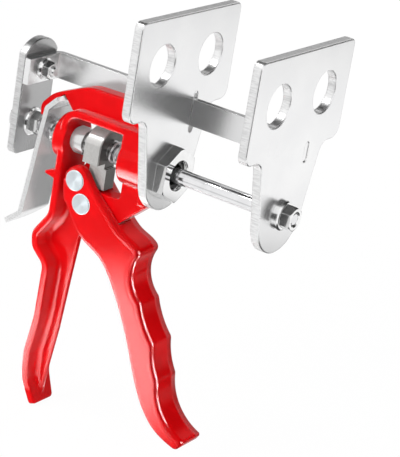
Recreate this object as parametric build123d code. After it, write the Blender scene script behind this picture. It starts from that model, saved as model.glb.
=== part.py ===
from build123d import *
import os
from math import atan2, cos, hypot, radians, sin, sqrt

# Brake caliper spreader: a squeeze trigger drives a push rod that forces two steel jaw plates apart.
# The rod runs along X, and its axis is Y = Z = 0. X = 0 is the front face of the fixed jaw plate.
# Z is up, Y is across the tool, and every length is in millimetres.

# Fits
rod_clearance = 0.08
pin_clearance = 0.05
seat_clearance = 0.08
bush_fit = 0.02
side_clearance = 0.75

# Push rod
rod_diameter = 9.5
stud_diameter = 8.0
stud_recess = 0.6
stud_chamfer = 0.8

# Jaw plates
jaw_width = 102.0
jaw_thickness = 5.5
jaw_top = 97.5
jaw_shoulder = 37.8
jaw_open_pitch = 78.0
jaw_corner_radius = 4.0
shoulder_corner_radius = 7.0
shoulder_fillet_radius = 8.0
shoulder_step = 18.0
lobe_radius = 23.5
window_hole_diameter = 25.0
window_hole_spacing = 50.0
window_hole_height = 69.2
jaw_edge_break = 0.5
lobe_shoulder_half_width = jaw_width / 2 - shoulder_step

# Guide bar and its slot in the fixed plate
bar_thickness = 4.0
bar_height = 16.0
bar_offset = 15.8
bar_level = 34.8
bar_bend_radius = 5.0
guide_slot_length = 25.4
guide_slot_clearance = 0.4
tenon_height = 11.6
tenon_groove = 0.5
tenon_recess = 0.6

# Rear link
link_thickness = 5.0
link_half_width = 15.6
link_side_top = 45.0
link_crown = 53.2
link_bottom = -19.0
link_corner_radius = 5.0

# Nuts, bolt and washers
m8_across_flats = 13.0
m8_nut_height = 8.0
m8_flange_diameter = 17.9
m6_across_flats = 10.0
m6_nut_height = 6.2
m6_flange_diameter = 13.6
m6_head_height = 4.0
m6_diameter = 6.0
flange_height = 1.5
bolt_tail = 1.8
washer_diameter = 17.0
washer_thickness = 1.5
clamp_nut_across_flats = 30.0
clamp_nut_thickness = 7.0
hex_corner_cut = 1.1
nut_countersink = 0.7

# Cast body: strap, web, hub and snout
body_half_width = 12.75
strap_thickness = 4.7
strap_edge_radius = 1.1
web_half_thickness = 5.5
handle_web_half_thickness = 1.6
handle_root_radius = 3.0
handle_edge_radius = 1.5
arch_edge_radius = 1.5
strap_x = -70.1
band_level = 18.9
band_corner_radius = 10.0
window_front = -27.4
window_floor = -25.8
window_corner_radius = 3.0
arch_level = 36.3
hub_diameter = 31.0
rear_boss_diameter = 28.4
rear_boss_face = -76.0
front_flange_thickness = 5.0
front_flange_bottom = -21.5
snout_diameter = 18.0
snout_length = 4.0
chin_corner = (-25.7, -40.0)
grip_bulge_x = -80.4
grip_bulge_level = -63.5
grip_neck_level = -80.5
grip_waist_level = -117.0
grip_heel_level = -142.0
grip_heel_set = 4.2
strap_bends = [band_corner_radius, 14.0, 7.0, 7.0, 9.0, 60.0, 14.0, 20.0]
arch_line = [(-61.0, 35.1), (-86.0, 24.0), (-94.2, 15.0), (-93.6, 8.6)]
arch_bends = [26.0, 22.0, 7.0]
hook_mouth_level = 8.6
chin_cut = (-9.0, -24.7)
web_root = [(-45.0, -55.8), (-55.5, -51.0), (-58.5, -35.0), (-54.0, -25.8)]
grip_front_line = [(-66.5, -171.5), (-63.9, -149.0), (-60.4, -123.5), (-56.9, -84.5), (-54.0, -56.5), (-49.5, -40.0),
                   (-57.5, -36.0)]
grip_toe = (-66.6, -176.2)
toe_half_width = 9.2
toe_taper_level = -152.0
toe_taper_radius = 40.0
toe_corner_radius = 2.6
stop_lug_level = -22.5
stop_lug_tip = -78.6
stop_lug_height = 5.0

# Bushes
bush_diameter = 13.0
bush_flange_diameter = 17.0
bush_flange_length = 9.8
bush_spigot_length = 7.6
bush_collar_diameter = 14.4
bush_collar_length = 1.3
front_bush_length = 16.0

# Trigger and its two rivets
pivot_x = -49.5
pivot_z = -34.0
drive_pin_x = -56.3
drive_pin_z = -21.0
rivet_diameter = 7.0
rivet_head_diameter = 12.8
rivet_head_height = 0.9
trigger_half_width = 12.75
trigger_wall = 4.0
trigger_head_radius = 8.4
fork_half_gap = web_half_thickness + side_clearance
stop_gap = 0.7
ledge_start = (chin_corner[0] + stop_gap, chin_corner[1] - 2.6)
brow_line = [(-39.4, -27.4), (-31.4, -34.2), (-18.6, -44.4), (-11.0, -47.4)]
nose = (-4.6, -51.8)
finger_crests = [(0.3, -82.0), (13.6, -104.0), (20.8, -125.5)]
finger_depths = [6.0, 1.5, 1.5]
finger_shares = [0.42, 0.42, 0.45]
flare_middle = (26.6, -143.4)
grip_tip_front = (45.6, -157.4)
grip_tip_rear = (43.2, -161.4)
trigger_back = [(35.4, -159.1), (24.6, -153.6), (17.6, -146.8), (-1.0, -110.5), (-19.5, -76.0), (-32.0, -61.8),
                (-48.4, -52.6), (-60.6, -36.6)]
pocket_line = [(-27.2, -47.2), (-17.4, -57.6), (-14.6, -67.2), (-7.0, -84.0), (6.0, -106.0), (14.4, -127.0),
               (20.6, -143.0), (28.6, -151.6)]
grip_pocket_top = -70.0
cutter_reach = 60.0
grip_edge_radius = 2.4
grip_crest_radius = 4.0
grip_tip_radius = 1.5

# Gripping dog and its return spring
dog_front = -42.0
dog_rear = -53.5
dog_radius = 12.8
dog_half_width = 12.0
dog_shoulder = -8.0
dog_tail_bottom = -24.2
dog_tail_half_width = 4.9
dog_bore_clearance = 0.09
dog_spring_mean_radius = 6.35
dog_spring_wire = 1.4
dog_spring_turns = 6
wire_sides = 6
spring_pocket_depth = 8.0
spring_pocket_clearance = 0.6

# Release lever and its spring
lever_thickness = 3.0
lever_half_width = 13.5
lever_tip_reach = 6.4
lever_tip_rise = 4.9
lever_shoulder_reach = 13.3
lever_shoulder_drop = 2.3
lever_knee_reach = 22.7
lever_knee_drop = 20.0
lever_foot_reach = 35.4
lever_foot_drop = 30.5
lever_tip = (strap_x - lever_tip_reach, band_level + lever_tip_rise)
lever_upper_bend = (strap_x - lever_shoulder_reach, band_level - lever_shoulder_drop)
lever_lower_bend = (strap_x - lever_knee_reach, pivot_z - lever_knee_drop)
lever_end = (strap_x - lever_foot_reach, pivot_z - lever_foot_drop)
lever_bend_radius = 4.0
lever_hole_width = 10.7
lever_hole_height = 13.2
lever_hook_clearance = 0.6
lever_corner_radius = 6.0
lever_to_link = 18.6
release_spring_mean_radius = 6.7
release_spring_wire = 1.3
release_spring_turns = 2.5

# Places that follow from the sizes above
moving_jaw_front = jaw_open_pitch
moving_jaw_rear = moving_jaw_front - jaw_thickness
link_front = lever_upper_bend[0] - lever_to_link
link_rear = link_front - link_thickness
body_front = -jaw_thickness
strap_inner_x = strap_x + strap_thickness / 2
band_top = band_level + strap_thickness / 2
lever_slope = (lever_upper_bend[0] - lever_lower_bend[0]) / (lever_upper_bend[1] - lever_lower_bend[1])
lever_lean = cos(atan2(lever_upper_bend[0] - lever_lower_bend[0], lever_upper_bend[1] - lever_lower_bend[1]))


# Shared shapes

def lever_front_x(z):
    """X of the lever's front face at a level between its two bends."""
    return lever_upper_bend[0] - lever_slope * (lever_upper_bend[1] - z) + lever_thickness / 2 / lever_lean


def side_plate(face, half_width):
    """A face drawn in X and Z, given equal depth to both sides of Y = 0."""
    return extrude(Plane.XZ * face, amount=half_width, both=True)


def round_x(diameter, x_from, x_to):
    """A cylinder on the rod axis."""
    return Plane.YZ.offset(x_from) * Cylinder(
        diameter / 2, x_to - x_from, align=(Align.CENTER, Align.CENTER, Align.MIN)
    )


def round_y(diameter, x, z, y_from, y_to):
    """A cylinder across the tool."""
    blank = Cylinder(diameter / 2, y_to - y_from, align=(Align.CENTER, Align.CENTER, Align.MIN))
    return Location((x, y_from, z), (-90, 0, 0)) * blank


def hex_x(across_flats, x_from, x_to, cut_front=True, cut_rear=False):
    """A hexagonal prism on the rod axis with its corners turned off at the chosen ends."""
    corner_diameter = across_flats / cos(radians(30))
    outline = RegularPolygon(across_flats / 2, 6, major_radius=False, rotation=30)
    prism = extrude(Plane.YZ.offset(x_from) * outline, amount=x_to - x_from)
    turned = round_x(corner_diameter + 0.02, x_from, x_to)
    ends = turned.edges().filter_by(GeomType.CIRCLE).sort_by(Axis.X)
    chosen = []
    if cut_front:
        chosen.append(ends[-1])
    if cut_rear:
        chosen.append(ends[0])
    turned = chamfer(chosen, length=hex_corner_cut / 2, length2=hex_corner_cut)
    return prism & turned


def flange_nut(across_flats, height, flange_diameter, bore_diameter, seat_x, direction):
    """A flange nut whose flange sits at seat_x and whose hexagon points along direction."""
    flange = round_x(flange_diameter, 0, flange_height)
    flange = chamfer(flange.edges().filter_by(GeomType.CIRCLE).sort_by(Axis.X)[-1], flange_height * 0.6)
    nut = flange + hex_x(across_flats, 0, height)
    nut -= round_x(bore_diameter + 2 * pin_clearance, -1, height + 1)
    mouth = nut.edges().filter_by(GeomType.CIRCLE).filter_by_position(Axis.X, height - 0.01, height + 0.01)
    bore_mouth = [e for e in mouth if abs(e.radius - bore_diameter / 2 - pin_clearance) < 0.01]
    nut = chamfer(bore_mouth, nut_countersink)
    if direction < 0:
        nut = nut.mirror(Plane.YZ)
    return Location((seat_x, 0, 0)) * nut


def coil_spring(mean_radius, wire, turns, x_from, x_to):
    """An open coil spring on the rod axis between two seats, made of half rings that each lean by half a turn."""
    rise = (x_to - x_from - wire) / (2 * turns)
    reach = hypot(mean_radius, rise / 2)
    coil = None
    for index in range(round(2 * turns)):
        side = 1 if index % 2 == 0 else -1
        middle_x = x_from + wire / 2 + rise * (index + 0.5)
        lean = (rise / 2 / reach, 0, -side * mean_radius / reach)
        ring = Plane(origin=(middle_x, 0, 0), x_dir=lean, z_dir=(-mean_radius / reach, 0, -side * rise / 2 / reach))
        start = Plane(origin=ring.origin - Vector(*lean) * reach, x_dir=lean, z_dir=(0, side, 0))
        axis = Axis(ring.origin, ring.z_dir)
        half = revolve(start * RegularPolygon(wire / 2, wire_sides), axis=axis, revolution_arc=180)
        coil = half if coil is None else coil + half
    return coil


# Jaw plates

def lobe_tangent():
    """Where the straight side of the lobe meets the round end about the rod axis."""
    reach = hypot(lobe_shoulder_half_width, jaw_shoulder)
    bearing = atan2(jaw_shoulder, lobe_shoulder_half_width)
    swing = bearing - atan2(sqrt(reach ** 2 - lobe_radius ** 2), lobe_radius)
    return lobe_radius * cos(swing), lobe_radius * sin(swing)


def jaw_outline():
    """Wide upper plate that necks down to a round lobe about the rod."""
    half = jaw_width / 2
    side_y, side_z = lobe_tangent()
    right = Polyline(
        (0, jaw_top), (half, jaw_top), (half, jaw_shoulder), (lobe_shoulder_half_width, jaw_shoulder), (side_y, side_z)
    )
    end = ThreePointArc((side_y, side_z), (0, -lobe_radius), (-side_y, side_z))
    left = Polyline(
        (-side_y, side_z), (-lobe_shoulder_half_width, jaw_shoulder), (-half, jaw_shoulder), (-half, jaw_top), (0, jaw_top)
    )
    face = make_face([right, end, left])
    corners = face.vertices()
    top = [v for v in corners if v.Y > jaw_top - 1 and abs(v.X) > 1]
    outer = [v for v in corners if abs(v.Y - jaw_shoulder) < 1 and abs(v.X) > half - 1]
    inner = [v for v in corners if abs(v.Y - jaw_shoulder) < 1 and abs(v.X) < half - 1]
    face = fillet(top, jaw_corner_radius)
    face = fillet([v for v in face.vertices() if any((v.center() - p.center()).length < 0.01 for p in outer)],
                  shoulder_corner_radius)
    face = fillet([v for v in face.vertices() if any((v.center() - p.center()).length < 0.01 for p in inner)],
                  shoulder_fillet_radius)
    return face


def jaw_blank(x_front):
    """The plate that both jaws are cut from, with its two round holes."""
    outline = jaw_outline()
    for side in (-1, 1):
        outline -= Pos(side * window_hole_spacing / 2, window_hole_height) * Circle(window_hole_diameter / 2)
    plate = extrude(Plane.YZ.offset(x_front - jaw_thickness) * outline, amount=jaw_thickness)
    rims = plate.edges().filter_by_position(Axis.X, x_front - 0.01, x_front + 0.01)
    return chamfer(rims, jaw_edge_break)


def upright_slot(x_front, length, width):
    """A through cutter for an upright slot at the guide bar."""
    outline = Pos(bar_offset, bar_level) * Rot(0, 0, 90) * SlotOverall(length, width)
    return extrude(Plane.YZ.offset(x_front - jaw_thickness - 1) * outline, amount=jaw_thickness + 2)


def fixed_jaw_plate():
    plate = jaw_blank(0)
    plate -= round_x(snout_diameter + 2 * seat_clearance, -jaw_thickness - 1, 1)
    plate -= upright_slot(0, guide_slot_length, bar_thickness + 2 * guide_slot_clearance)
    return plate


def moving_jaw_plate():
    plate = jaw_blank(moving_jaw_front)
    plate -= round_x(stud_diameter + 2 * seat_clearance, moving_jaw_rear - 1, moving_jaw_front + 1)
    plate -= upright_slot(moving_jaw_front, tenon_height + 2 * pin_clearance, bar_thickness + 2 * pin_clearance)
    mouth = plate.edges().filter_by_position(Axis.X, moving_jaw_front - 0.01, moving_jaw_front + 0.01).filter_by(
        lambda e: hypot(e.center().Y - bar_offset, e.center().Z - bar_level) < tenon_height / 2
    )
    return chamfer(mouth, tenon_groove)


def clamp_nut():
    nut = hex_x(clamp_nut_across_flats, 0, clamp_nut_thickness)
    nut -= round_x(snout_diameter + 2 * pin_clearance, -1, clamp_nut_thickness + 1)
    rim = nut.edges().filter_by(GeomType.CIRCLE).filter_by_position(
        Axis.X, clamp_nut_thickness - 0.01, clamp_nut_thickness + 0.01
    )
    bore_rim = [e for e in rim if abs(e.radius - snout_diameter / 2 - pin_clearance) < 0.01]
    return chamfer(bore_rim, jaw_edge_break)


# Cast body

def strap_corners():
    """Corner points of the strap's middle line, from the front block over the window and down the grip."""
    return [
        (window_front + 1, band_level),
        (strap_x, band_level),
        (strap_x, grip_bulge_level + 15.0),
        (grip_bulge_x, grip_bulge_level),
        (grip_bulge_x + 1.2, grip_bulge_level - 8.0),
        (strap_x + 0.9, grip_neck_level),
        (strap_x - 0.1, grip_waist_level),
        (strap_x - grip_heel_set, grip_heel_level),
        (strap_x - grip_heel_set + 0.6, grip_heel_level - 18.0),
        grip_toe,
    ]


def strap_front_view():
    """The strap seen from the front: full width down the grip, then drawn in towards the toe."""
    low = grip_toe[1] - strap_thickness
    high = band_level + strap_thickness
    face = make_face(Polyline(
        (-body_half_width, high), (-body_half_width, toe_taper_level), (-toe_half_width, low),
        (toe_half_width, low), (body_half_width, toe_taper_level), (body_half_width, high), close=True,
    ))
    waist = [v for v in face.vertices() if abs(v.Y - toe_taper_level) < 0.01]
    return fillet(waist, toe_taper_radius)


def strap():
    """The broad edge band of the casting, with a narrowed and rounded toe."""
    corners = strap_corners()
    path = Plane.XZ * FilletPolyline(*corners, radius=strap_bends)
    start = Plane(origin=(corners[0][0], 0, corners[0][1]), x_dir=(0, 0, 1), z_dir=(-1, 0, 0))
    band = sweep(start * Rectangle(strap_thickness, 2 * body_half_width), path=path)
    band &= extrude(Plane.YZ * strap_front_view(), amount=2 * cutter_reach, both=True)
    toe_x, toe_z = grip_toe
    toe_edges = [band.edges().sort_by_distance((toe_x, side * toe_half_width, toe_z))[0] for side in (-1, 1)]
    band = fillet(toe_edges, toe_corner_radius)
    rims = band.edges().filter_by(lambda e: abs(e.center().Y) > toe_half_width and e.length > strap_edge_radius / 2)
    rims = rims.filter_by(lambda e: e.geom_type != GeomType.LINE or abs(e.length - strap_thickness) > 0.05)
    return fillet(rims, strap_edge_radius)


def arch_and_hook():
    """Web above the band, ending in the hook that holds the tip of the release lever."""
    outer = FilletPolyline((body_front, arch_level), *arch_line, radius=arch_bends)
    gap = lever_thickness / 2 + lever_hook_clearance
    tip_x, tip_z = lever_tip
    bend_x, bend_z = lever_upper_bend
    run = hypot(tip_x - bend_x, tip_z - bend_z)
    along = ((tip_x - bend_x) / run, (tip_z - bend_z) / run)
    across = (-along[1], along[0])
    mouth = (bend_x - gap - lever_slope * (bend_z - hook_mouth_level), hook_mouth_level)
    knee = (bend_x - gap, bend_z + gap * 0.45)
    end_x = tip_x + along[0] * lever_hook_clearance
    end_z = tip_z + along[1] * lever_hook_clearance
    roof = (end_x + across[0] * gap, end_z + across[1] * gap)
    pocket = (end_x - across[0] * gap, end_z - across[1] * gap)
    inner = Polyline(
        outer @ 1, mouth, knee, roof, pocket, (strap_x, band_level - 1.0), (strap_x + band_corner_radius, band_level),
        (body_front, band_level), outer @ 0,
    )
    return make_face([outer, inner])


def front_web():
    """Web behind the fixed plate, the chin under it and the thick part round the trigger pivot."""
    return make_face(Polyline(
        (window_front, band_level), (body_front, band_level), (body_front, front_flange_bottom), chin_cut, chin_corner,
        *web_root, (window_front, window_floor), close=True,
    ))


def handle_web():
    """Thin middle web of the grip, between the strap and its open front edge."""
    return make_face(Polyline(*strap_corners()[2:], *grip_front_line, (strap_x, pivot_z), close=True))


def handle():
    """Strap and grip web together, with a rounded front edge on the web and a full root in their corner."""
    web = side_plate(handle_web(), handle_web_half_thickness)
    middles = [((a[0] + b[0]) / 2, (a[1] + b[1]) / 2) for a, b in zip(grip_front_line, grip_front_line[1:])]

    def on_front(e):
        spot = e.center()
        return min(hypot(spot.X - x, spot.Z - z) for x, z in middles) < strap_thickness / 2

    def web_rims(solid):
        return solid.edges().filter_by(lambda e: abs(abs(e.center().Y) - handle_web_half_thickness) < 0.01)

    front = web_rims(web).filter_by(lambda e: on_front(e) and toe_taper_level < e.center().Z < grip_bulge_level)
    frame = strap() + fillet(front, handle_edge_radius)
    root = web_rims(frame).filter_by(
        lambda e: e.center().X < strap_inner_x + strap_edge_radius and e.center().Z < pivot_z - hub_diameter / 3
        and e.length > strap_edge_radius / 4 and not on_front(e)
    )
    return fillet(root, handle_root_radius)


def stop_lug():
    """Small wedge on the back of the strap that limits the release lever."""
    half = stop_lug_height / 2
    return make_face(Polyline(
        (strap_x, stop_lug_level + half * 1.6),
        (stop_lug_tip, stop_lug_level + half * 0.3),
        (stop_lug_tip, stop_lug_level - half * 0.3),
        (strap_x, stop_lug_level - half),
        close=True,
    ))


def body_casting():
    web = fillet(front_web().vertices().sort_by_distance((window_front, window_floor))[0], window_corner_radius)
    body = handle()
    arch = side_plate(arch_and_hook(), web_half_thickness)
    crown = arch.edges().filter_by(
        lambda e: abs(abs(e.center().Y) - web_half_thickness) < 0.01 and e.center().Z > band_level + strap_thickness
        and e.center().X > strap_x + strap_thickness
    )
    body += fillet(crown, arch_edge_radius)
    body += side_plate(web, web_half_thickness)
    body += side_plate(stop_lug(), body_half_width)
    block_length = body_front - window_front
    block_height = band_top - hub_diameter / 4
    block = Pos(body_front - block_length / 2, 0, band_top - block_height / 2) * Box(
        block_length, 2 * body_half_width, block_height
    )
    flange_height_z = band_top - front_flange_bottom
    flange = Pos(body_front - front_flange_thickness / 2, 0, band_top - flange_height_z / 2) * Box(
        front_flange_thickness, 2 * body_half_width, flange_height_z
    )
    body += block
    body += flange
    body += round_x(hub_diameter, window_front, body_front)
    body += round_x(rear_boss_diameter, rear_boss_face, strap_inner_x)
    body += round_x(snout_diameter, body_front, snout_length)
    pocket = dog_spring_mean_radius * 2 + dog_spring_wire + 2 * spring_pocket_clearance
    body -= round_x(pocket, window_front - 1, window_front + spring_pocket_depth)
    body -= round_x(bush_diameter + 2 * bush_fit, window_front, snout_length + 1)
    body -= round_x(bush_diameter + 2 * bush_fit, rear_boss_face - 1, strap_inner_x + 1)
    body -= round_y(rivet_diameter + 2 * pin_clearance, pivot_x, pivot_z, -body_half_width, body_half_width)
    return body


# Bushes in the body

def rear_guide_bush():
    """Stepped bush: spigot in the rear wall, thick shoulder, and the neck that the dog rests on."""
    collar_end = strap_inner_x + bush_collar_length
    bush = round_x(bush_diameter, strap_inner_x - bush_spigot_length, dog_rear - seat_clearance)
    shoulder = round_x(bush_flange_diameter, collar_end, strap_inner_x + bush_flange_length)
    bush += chamfer(shoulder.edges().filter_by(GeomType.CIRCLE), 0.7)
    bush += round_x(bush_collar_diameter, strap_inner_x, collar_end)
    return bush - round_x(rod_diameter + 2 * rod_clearance, rear_boss_face - 1, dog_front)


def front_guide_bush():
    """Plain bush that carries the rod inside the snout."""
    seat = window_front + spring_pocket_depth
    bush = round_x(bush_diameter, seat, seat + front_bush_length)
    return bush - round_x(rod_diameter + 2 * rod_clearance, seat - 1, seat + front_bush_length + 1)


# Trigger

def trigger_front_edge():
    """Front line of the grip: a deep first finger hollow, two shallow ones, and the flared tip."""
    crests = [nose] + finger_crests
    lines = []
    for start, end, depth, share in zip(crests, crests[1:], finger_depths, finger_shares):
        run = hypot(end[0] - start[0], end[1] - start[1])
        along = ((end[0] - start[0]) / run, (end[1] - start[1]) / run)
        middle = (
            start[0] + along[0] * run * share + along[1] * depth,
            start[1] + along[1] * run * share - along[0] * depth,
        )
        lines.append(ThreePointArc(start, middle, end))
    return lines + [ThreePointArc(crests[-1], flare_middle, grip_tip_front)]


def trigger_profile():
    """Side view of the whole trigger."""
    head_left = (drive_pin_x - trigger_head_radius, drive_pin_z)
    head_top = (drive_pin_x, drive_pin_z + trigger_head_radius)
    head_right = (drive_pin_x + trigger_head_radius * 0.78, drive_pin_z + trigger_head_radius * 0.63)
    head = ThreePointArc(head_left, head_top, head_right)
    brow = Spline(head_right, *brow_line, nose, tangents=[(0.78, -1.0), (1.0, -0.9)])
    heel = Line(grip_tip_front, grip_tip_rear)
    rear = Spline(grip_tip_rear, *trigger_back, head_left, tangents=[(-1.0, 0.25), (-0.12, 1.0)])
    face = make_face([head, brow, *trigger_front_edge(), heel, rear])
    crests = [face.vertices().sort_by_distance(point)[0] for point in finger_crests + [nose]]
    face = fillet(crests, grip_crest_radius)
    return fillet(face.vertices().sort_by_distance(grip_tip_front)[0], grip_tip_radius)


def trigger_pocket():
    """Side view of the space behind the front wall, open towards the body."""
    end = pocket_line[-1]
    return make_face(Polyline(
        (ledge_start[0], ledge_start[1] + cutter_reach),
        ledge_start,
        *pocket_line,
        (end[0] - cutter_reach / 2, end[1] - cutter_reach / 2),
        (end[0] - 2 * cutter_reach, end[1]),
        (end[0] - 2 * cutter_reach, ledge_start[1] + cutter_reach),
        close=True,
    ))


def grip_pocket():
    """The wider part of that space, below the fork."""
    low = grip_pocket_top - 2 * cutter_reach
    below = Pos(0, (grip_pocket_top + low) / 2) * Rectangle(4 * cutter_reach, grip_pocket_top - low)
    return trigger_pocket() & below


def trigger():
    """Squeeze lever: a channel with two cheeks at its head and a wavy finger wall, rounded at the front."""
    blank = side_plate(trigger_profile(), trigger_half_width)
    rims = blank.edges().filter_by(GeomType.CIRCLE).filter_by(
        lambda e: e.center().Z < ledge_start[1] and abs(abs(e.center().Y) - trigger_half_width) < 0.01
    )
    blank = fillet(rims, grip_edge_radius)
    blank -= side_plate(trigger_pocket(), fork_half_gap)
    blank -= side_plate(grip_pocket(), trigger_half_width - trigger_wall)
    for x, z in ((pivot_x, pivot_z), (drive_pin_x, drive_pin_z)):
        blank -= round_y(rivet_diameter + 2 * pin_clearance, x, z, -2 * trigger_half_width, 2 * trigger_half_width)
    return blank


def rivet(x, z):
    """Through pin with a flat riveted head on each cheek of the trigger."""
    shank = round_y(rivet_diameter, x, z, -trigger_half_width, trigger_half_width)
    for side in (-1, 1):
        start = trigger_half_width if side > 0 else -trigger_half_width - rivet_head_height
        head = round_y(rivet_head_diameter, x, z, start, start + rivet_head_height)
        outer = head.edges().filter_by(GeomType.CIRCLE).sort_by(Axis.Y)[-1 if side > 0 else 0]
        shank += chamfer(outer, rivet_head_height * 0.5)
    return shank


# Gripping dog

def drive_dog():
    """Block on the rod that cants and grips when the trigger pin pushes its tail."""
    crown = Circle(dog_radius) & Pos(0, dog_radius / 2) * Rectangle(2 * dog_half_width, dog_radius)
    cheeks = Pos(0, dog_shoulder / 2) * Rectangle(2 * dog_half_width, -dog_shoulder)
    tail = Pos(0, dog_tail_bottom / 2) * Rectangle(2 * dog_tail_half_width, -dog_tail_bottom)
    block = extrude(Plane.YZ.offset(dog_rear) * (crown + cheeks), amount=dog_front - dog_rear)
    block = chamfer(block.edges().filter_by_position(Axis.X, dog_front - 0.01, dog_front + 0.01), 0.6)
    tail_rear = drive_pin_x + rivet_diameter / 2 + 0.3
    tail_front = dog_front + 1.6
    block += extrude(Plane.YZ.offset(tail_rear) * tail, amount=tail_front - tail_rear)
    above = Pos((tail_front + dog_front) / 2, 0, (dog_radius + dog_shoulder - 3.0) / 2) * Box(
        tail_front - dog_front, 2 * dog_half_width, dog_radius - dog_shoulder + 3.0
    )
    block -= above
    return block - round_x(rod_diameter + 2 * dog_bore_clearance, dog_rear - 1, tail_front + 1)


def dog_spring():
    seat = window_front + spring_pocket_depth
    return coil_spring(dog_spring_mean_radius, dog_spring_wire, dog_spring_turns, dog_front, seat)


# Release lever

def release_lever():
    """Bent strip with a bore for the rod; its tip sits in the hook and its foot is the thumb tab."""
    path = Plane.XZ * FilletPolyline(
        lever_tip, lever_upper_bend, lever_lower_bend, lever_end, radius=lever_bend_radius
    )
    start = Plane(origin=path @ 0, x_dir=(0, 1, 0), z_dir=path % 0)
    lever = sweep(start * Rectangle(2 * lever_half_width, lever_thickness), path=path)
    centre_x = lever_upper_bend[0] - lever_slope * lever_upper_bend[1]
    hole = Rot(0, 0, 90) * SlotOverall(lever_hole_height, lever_hole_width)
    bore_start = Plane.YZ.offset(centre_x - lever_half_width)
    lever -= extrude(bore_start * (Pos(0, -lever_hook_clearance) * hole), amount=2 * lever_half_width)
    corners = lever.edges().sort_by(Axis.X)[:8].filter_by(lambda e: abs(e.length - lever_thickness) < 0.1)
    return fillet(corners, lever_corner_radius)


def release_spring():
    seat = lever_front_x(release_spring_mean_radius + release_spring_wire / 2) + pin_clearance
    return coil_spring(
        release_spring_mean_radius, release_spring_wire, release_spring_turns, seat, rear_boss_face,
    )


# Sliding assembly

def push_rod():
    """Ground rod with a threaded stud at each end."""
    rear_shoulder = link_front + m8_nut_height + 1.0
    rod = round_x(rod_diameter, rear_shoulder, moving_jaw_rear)
    rod = chamfer(rod.edges().filter_by(GeomType.CIRCLE), 0.4)
    stud_end = moving_jaw_front + washer_thickness + m8_nut_height - stud_recess
    rod += round_x(stud_diameter, moving_jaw_rear, stud_end)
    rod += round_x(stud_diameter, link_rear - m8_nut_height - bolt_tail, rear_shoulder)
    ends = rod.edges().filter_by(GeomType.CIRCLE).sort_by(Axis.X)
    return chamfer([ends[0], ends[-1]], stud_chamfer)


def guide_bar():
    """Flat bar that keeps the jaws square: foot bolted to the link, tenon staked into the moving plate."""
    inner_y = bar_offset - bar_thickness / 2
    outer_y = bar_offset + bar_thickness / 2
    foot_front = link_front + bar_thickness
    profile = make_face(Polyline(
        (link_front, -link_half_width), (link_front, outer_y), (moving_jaw_rear, outer_y), (moving_jaw_rear, inner_y),
        (foot_front, inner_y), (foot_front, -link_half_width), close=True,
    ))
    bend_outer = profile.vertices().sort_by_distance((link_front, outer_y))[0]
    profile = fillet(bend_outer, bar_bend_radius)
    bend_inner = profile.vertices().sort_by_distance((foot_front, inner_y))[0]
    profile = fillet(bend_inner, bar_bend_radius - bar_thickness + 0.2)
    bar = extrude(Plane.XY.offset(bar_level - bar_height / 2) * profile, amount=bar_height)
    tenon = Pos(bar_offset, bar_level) * Rot(0, 0, 90) * SlotOverall(tenon_height, bar_thickness)
    bar += extrude(Plane.YZ.offset(moving_jaw_rear) * tenon, amount=jaw_thickness - tenon_recess)
    bar -= Pos(0, 0, bar_level) * round_x(m6_diameter + 2 * seat_clearance, link_front - 1, foot_front + 1)
    return bar


def rear_link():
    """Upright plate that ties the rod to the guide bar."""
    sides = Polyline(
        (-link_half_width, link_side_top), (-link_half_width, link_bottom), (link_half_width, link_bottom),
        (link_half_width, link_side_top),
    )
    crown = ThreePointArc((link_half_width, link_side_top), (0, link_crown), (-link_half_width, link_side_top))
    face = make_face([sides, crown])
    face = fillet(face.vertices().sort_by(Axis.Y)[:2], link_corner_radius)
    face -= Circle(stud_diameter / 2 + seat_clearance)
    face -= Pos(0, bar_level) * Circle(m6_diameter / 2 + seat_clearance)
    link = extrude(Plane.YZ.offset(link_rear) * face, amount=link_thickness)
    rims = link.edges().filter_by_position(Axis.X, link_front - 0.01, link_front + 0.01)
    return chamfer(rims, jaw_edge_break)


def link_bolt():
    """Hexagon bolt through the link and the foot of the guide bar."""
    head = hex_x(m6_across_flats, link_rear - m6_head_height, link_rear, cut_front=False, cut_rear=True)
    tail_end = link_front + bar_thickness + m6_nut_height + bolt_tail
    shank = round_x(m6_diameter, link_rear, tail_end)
    shank = chamfer(shank.edges().filter_by(GeomType.CIRCLE).sort_by(Axis.X)[-1], 0.6)
    return Pos(0, 0, bar_level) * (head + shank)


def link_bolt_nut():
    seat = link_front + bar_thickness
    nut = flange_nut(m6_across_flats, m6_nut_height, m6_flange_diameter, m6_diameter, seat, 1)
    return Pos(0, 0, bar_level) * nut


def rod_inner_nut():
    return flange_nut(m8_across_flats, m8_nut_height, m8_flange_diameter, stud_diameter, link_front, 1)


def rod_outer_nut():
    return flange_nut(m8_across_flats, m8_nut_height, m8_flange_diameter, stud_diameter, link_rear, -1)


def jaw_washer():
    washer = round_x(washer_diameter, moving_jaw_front, moving_jaw_front + washer_thickness)
    return washer - round_x(stud_diameter + 2 * pin_clearance, moving_jaw_front - 1, moving_jaw_front + 5)


def jaw_nut():
    seat = moving_jaw_front + washer_thickness
    return flange_nut(m8_across_flats, m8_nut_height, m8_flange_diameter, stud_diameter, seat, 1)


# Every piece, written to its own file

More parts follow.
